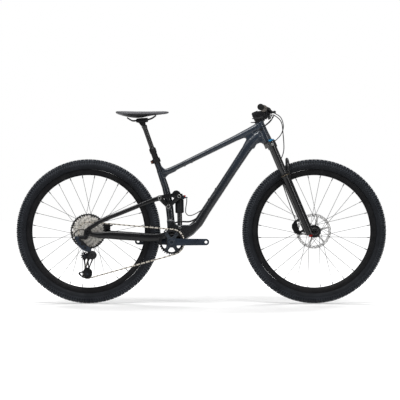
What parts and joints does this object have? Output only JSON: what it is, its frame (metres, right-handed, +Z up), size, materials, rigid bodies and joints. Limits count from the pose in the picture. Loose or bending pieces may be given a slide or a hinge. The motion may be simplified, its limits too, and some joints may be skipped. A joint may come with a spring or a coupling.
{
  "type": "mountain bike",
  "caption": "Full suspension mountain bike with a linkage driven rear shock, telescopic fork, disc brakes, dropper seat post, chain drive and flat bar controls.",
  "frame": {"origin": "on the ground under the middle of the wheelbase, in the plane between the two crank arms", "axes": "+X forward along the wheelbase, +Y towards the rider's left, +Z up"},
  "size_m": [1.893, 0.775, 1.0035],
  "materials": {
    "frame_gloss": "gloss",
    "black_gloss": "gloss",
    "black_alloy": "satin",
    "crank_paint": "satin",
    "link_grey": "satin",
    "silver": "brushed",
    "spoke_steel": "brushed",
    "chain_steel": "satin",
    "tyre": "matte",
    "rim": "satin",
    "rubber": "matte",
    "saddle_skin": "satin",
    "plastic": "matte",
    "cable": "satin",
    "red": "anodised",
    "blue": "anodised"
  },
  "bodies": {
    "frame": {"front_frame": "frame_gloss", "frame_inserts": "black_alloy", "seat_clamp": "black_alloy", "seatpost_lower": "black_alloy", "pivot_axles": "silver", "rear_hoses": "cable", "shock_cable": "cable"},
    "rear_triangle": {"rear_triangle": "black_gloss", "rear_pivot_bolts": "silver", "derailleur_knuckles": "black_alloy", "derailleur_link": "link_grey", "rear_axle": "black_alloy", "rear_caliper": "black_alloy", "shift_loop": "cable", "chain": "chain_steel"},
    "rear_wheel": {"rear_tyre": "tyre", "rear_rim": "rim", "rear_spokes": "spoke_steel", "rear_hub": "black_alloy", "rear_rotor": "silver"},
    "cassette": {"freehub": "black_alloy", "cassette_cogs": "silver"},
    "crankset": {"crank_right": "crank_paint", "chainring": "black_alloy", "crank_left": "crank_paint"},
    "cage": {"derailleur_cage": "black_alloy"},
    "guide_pulley": {"guide_pulley": "plastic"},
    "tension_pulley": {"tension_pulley": "plastic"},
    "rocker": {"rocker_link": "black_gloss"},
    "shock_shaft": {"shock_shaft": "black_alloy"},
    "shock_body": {"shock_body": "black_alloy"},
    "shock_knob": {"shock_knob": "red"},
    "shock_lever": {"shock_lever": "link_grey"},
    "saddle": {"seatpost_upper": "black_alloy", "saddle_clamp": "black_alloy", "saddle_rails": "black_alloy", "saddle_base": "plastic", "saddle_cover": "saddle_skin"},
    "steering": {"fork_crown": "black_gloss", "stem": "black_alloy", "handlebar": "black_alloy", "grips": "rubber", "bar_controls": "black_alloy", "lockout_cable": "cable", "frame_cables": "cable", "front_brake_hose": "cable"},
    "brake_blade_right": {"brake_blade_right": "black_alloy"},
    "brake_blade_left": {"brake_blade_left": "black_alloy"},
    "shift_lever": {"shift_lever": "plastic"},
    "dropper_lever": {"dropper_lever": "plastic"},
    "fork_lockout": {"fork_lockout": "blue"},
    "fork_lowers": {"fork_lowers": "black_gloss", "front_caliper": "black_alloy", "front_axle": "black_alloy"},
    "rebound_knob": {"rebound_knob": "red"},
    "front_wheel": {"front_tyre": "tyre", "front_rim": "rim", "front_spokes": "spoke_steel", "front_hub": "black_alloy", "front_rotor": "silver"}
  },
  "joints": [
    {"name": "steering", "type": "hinge", "parent": "frame", "child": "steering", "pos_m": [0.317, 0, 0.87528], "axis": [-0.3907, 0, 0.9205], "range_deg": [-60, 60], "deforming": ["frame_cables"]},
    {"name": "fork_travel", "type": "slide", "parent": "steering", "child": "fork_lowers", "axis": [-0.3907, 0, 0.9205], "range_m": [0, 0.105], "stiffness_N_per_m": 8000, "deforming": ["front_brake_hose"]},
    {"name": "front_wheel_spin", "type": "hinge", "parent": "fork_lowers", "child": "front_wheel", "pos_m": [0.5775, 0, 0.369], "axis": [0, 1, 0], "continuous": true},
    {"name": "swing", "type": "hinge", "parent": "frame", "child": "rear_triangle", "pos_m": [-0.108, 0, 0.356], "axis": [0, 1, 0], "range_deg": [0, 11.7], "stiffness_Nm_per_rad": 500, "deforming": ["chain", "rear_hoses"]},
    {"name": "rocker_turn", "type": "hinge", "parent": "frame", "child": "rocker", "pos_m": [-0.168, 0, 0.495], "axis": [0, 1, 0], "range_deg": [0, 41]},
    {"name": "shock_tilt", "type": "hinge", "parent": "frame", "child": "shock_shaft", "pos_m": [-0.11, 0, 0.388], "axis": [0, 1, 0], "range_deg": [0, 11.5], "deforming": ["shock_cable"]},
    {"name": "shock_stroke", "type": "slide", "parent": "shock_shaft", "child": "shock_body", "axis": [0.0187, 0, -0.9998], "range_m": [0, 0.0465], "deforming": ["shock_cable"]},
    {"name": "rear_wheel_spin", "type": "hinge", "parent": "rear_triangle", "child": "rear_wheel", "pos_m": [-0.5775, 0, 0.369], "axis": [0, 1, 0], "continuous": true},
    {"name": "crank_spin", "type": "hinge", "parent": "frame", "child": "crankset", "pos_m": [-0.1516, 0, 0.3154], "axis": [0, 1, 0], "continuous": true, "deforming": ["chain"]},
    {"name": "cassette_spin", "type": "hinge", "parent": "rear_triangle", "child": "cassette", "pos_m": [-0.5775, 0, 0.369], "axis": [0, 1, 0], "continuous": true, "deforming": ["chain"]},
    {"name": "cage_pivot", "type": "hinge", "parent": "rear_triangle", "child": "cage", "pos_m": [-0.556, 0, 0.252], "axis": [0, -1, 0], "range_deg": [-12, 12], "stiffness_Nm_per_rad": 2.5, "deforming": ["chain"]},
    {"name": "guide_pulley_spin", "type": "hinge", "parent": "cage", "child": "guide_pulley", "pos_m": [-0.59252, -0.0445, 0.24572], "axis": [0, 1, 0], "continuous": true, "deforming": ["chain"]},
    {"name": "tension_pulley_spin", "type": "hinge", "parent": "cage", "child": "tension_pulley", "pos_m": [-0.57951, -0.0445, 0.15159], "axis": [0, 1, 0], "continuous": true, "deforming": ["chain"]},
    {"name": "dropper_travel", "type": "slide", "parent": "frame", "child": "saddle", "axis": [-0.3338, 0, 0.9426], "range_m": [-0.1, 0]},
    {"name": "brake_right", "type": "hinge", "parent": "steering", "child": "brake_blade_right", "pos_m": [0.346, -0.196, 0.9685], "axis": [0, 0, -1], "range_deg": [0, 14], "stiffness_Nm_per_rad": 0.8, "springref_deg": -5.73},
    {"name": "brake_left", "type": "hinge", "parent": "steering", "child": "brake_blade_left", "pos_m": [0.346, 0.196, 0.9685], "axis": [0, 0, 1], "range_deg": [0, 14], "stiffness_Nm_per_rad": 0.8, "springref_deg": -5.73},
    {"name": "shift_thumb", "type": "hinge", "parent": "steering", "child": "shift_lever", "pos_m": [0.321, -0.21, 0.9395], "axis": [0, 0, -1], "range_deg": [0, 25], "stiffness_Nm_per_rad": 0.25, "springref_deg": -5.73},
    {"name": "dropper_thumb", "type": "hinge", "parent": "steering", "child": "dropper_lever", "pos_m": [0.321, 0.21, 0.9395], "axis": [0, 0, 1], "range_deg": [0, 25], "stiffness_Nm_per_rad": 0.25, "springref_deg": -5.73},
    {"name": "fork_lockout_turn", "type": "hinge", "parent": "steering", "child": "fork_lockout", "pos_m": [0.35059, -0.067, 0.83196], "axis": [-0.3907, 0, 0.9205], "range_deg": [0, 90]},
    {"name": "rebound_turn", "type": "hinge", "parent": "fork_lowers", "child": "rebound_knob", "pos_m": [0.55573, -0.067, 0.3487], "axis": [-0.3907, 0, 0.9205], "range_deg": [-180, 180]},
    {"name": "shock_knob_turn", "type": "hinge", "parent": "shock_body", "child": "shock_knob", "pos_m": [-0.08465, 0, 0.5465], "axis": [0.9998, 0, 0.0187], "range_deg": [-180, 180]},
    {"name": "shock_lever_turn", "type": "hinge", "parent": "shock_body", "child": "shock_lever", "pos_m": [-0.09384, -0.0189, 0.54033], "axis": [0, -1, 0], "range_deg": [0, 40]}
  ],
  "couplings": [
    {"joint": "rocker_turn", "follows": "swing", "ratio": 3.44},
    {"joint": "shock_tilt", "follows": "swing", "ratio": 0.9375},
    {"joint": "shock_stroke", "follows": "swing", "m_per_rad": 0.2233},
    {"joint": "cassette_spin", "follows": "crank_spin", "ratio": 1.3333},
    {"joint": "guide_pulley_spin", "follows": "crank_spin", "ratio": -2.9091},
    {"joint": "tension_pulley_spin", "follows": "crank_spin", "ratio": 2.9091}
  ]
}
